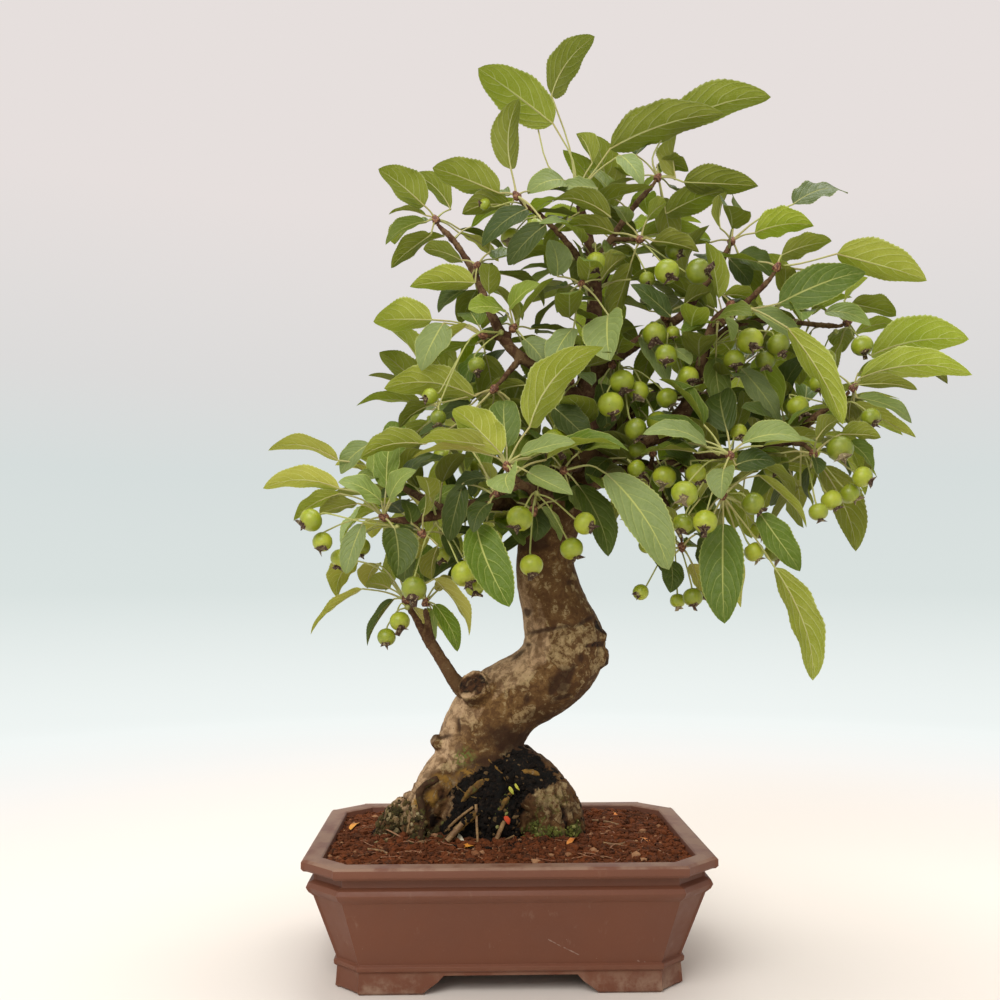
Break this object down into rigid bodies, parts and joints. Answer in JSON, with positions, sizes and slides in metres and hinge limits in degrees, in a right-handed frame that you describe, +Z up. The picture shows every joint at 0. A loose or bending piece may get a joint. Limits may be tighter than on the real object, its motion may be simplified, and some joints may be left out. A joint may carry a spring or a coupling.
{
  "type": "bonsai tree in a pot",
  "caption": "Fruiting crabapple bonsai with an S-curved trunk, leafy sprays and bunches of small green fruit, in a rectangular clay pot with cut corners.",
  "frame": {"origin": "centre of the whole object's bounding box in plan, at the surface that the pot's feet stand on", "axes": "+Z up, the pot's long sides along X, its front long side and the tree's front towards -Y"},
  "size_m": [0.4258, 0.2376, 0.5606],
  "materials": {
    "clay": "matte unglazed, dusty on the rim",
    "earth": "rough grains",
    "bark": "rough bark",
    "leaf": "soft satin, paler below",
    "fruit": "smooth skin with a faint gloss"
  },
  "bodies": {
    "root": {"fruit_back_left": "fruit", "fruit_back_right": "fruit", "fruit_centre_low": "fruit", "fruit_centre_right": "fruit", "fruit_crown_left": "fruit", "fruit_far_right": "fruit", "fruit_far_right_top": "fruit", "fruit_front_fruit": "fruit", "fruit_leader_low": "fruit", "fruit_left_far": "fruit", "fruit_left_high": "fruit", "fruit_left_low": "fruit", "fruit_middle": "fruit", "fruit_middle_hang": "fruit", "fruit_middle_top": "fruit", "fruit_right_front": "fruit", "fruit_right_hang": "fruit", "fruit_right_low": "fruit", "fruit_right_mid": "fruit", "leaves_back_far_right": "leaf", "leaves_back_high": "leaf", "leaves_back_left": "leaf", "leaves_back_low": "leaf", "leaves_back_right": "leaf", "leaves_centre_low": "leaf", "leaves_centre_right": "leaf", "leaves_centre_stem": "leaf", "leaves_crown_left": "leaf", "leaves_crown_right": "leaf", "leaves_crown_top": "leaf", "leaves_far_right": "leaf", "leaves_far_right_low": "leaf", "leaves_front_centre": "leaf", "leaves_front_fruit": "leaf", "leaves_front_left": "leaf", "leaves_front_right": "leaf", "leaves_leader_low": "leaf", "leaves_leader_mid": "leaf", "leaves_left_far": "leaf", "leaves_left_high": "leaf", "leaves_left_low": "leaf", "leaves_left_mid": "leaf", "leaves_left_top": "leaf", "leaves_left_top_low": "leaf", "leaves_left_upper": "leaf", "leaves_middle": "leaf", "leaves_middle_hang": "leaf", "leaves_middle_top": "leaf", "leaves_right_front": "leaf", "leaves_right_hang": "leaf", "leaves_right_low": "leaf", "leaves_right_mid": "leaf", "leaves_right_mid_top": "leaf", "leaves_right_top": "leaf", "leaves_young_left": "leaf", "leaves_young_right": "leaf", "pot": "clay", "soil": "earth", "wood": "bark"}
  },
  "joints": []
}
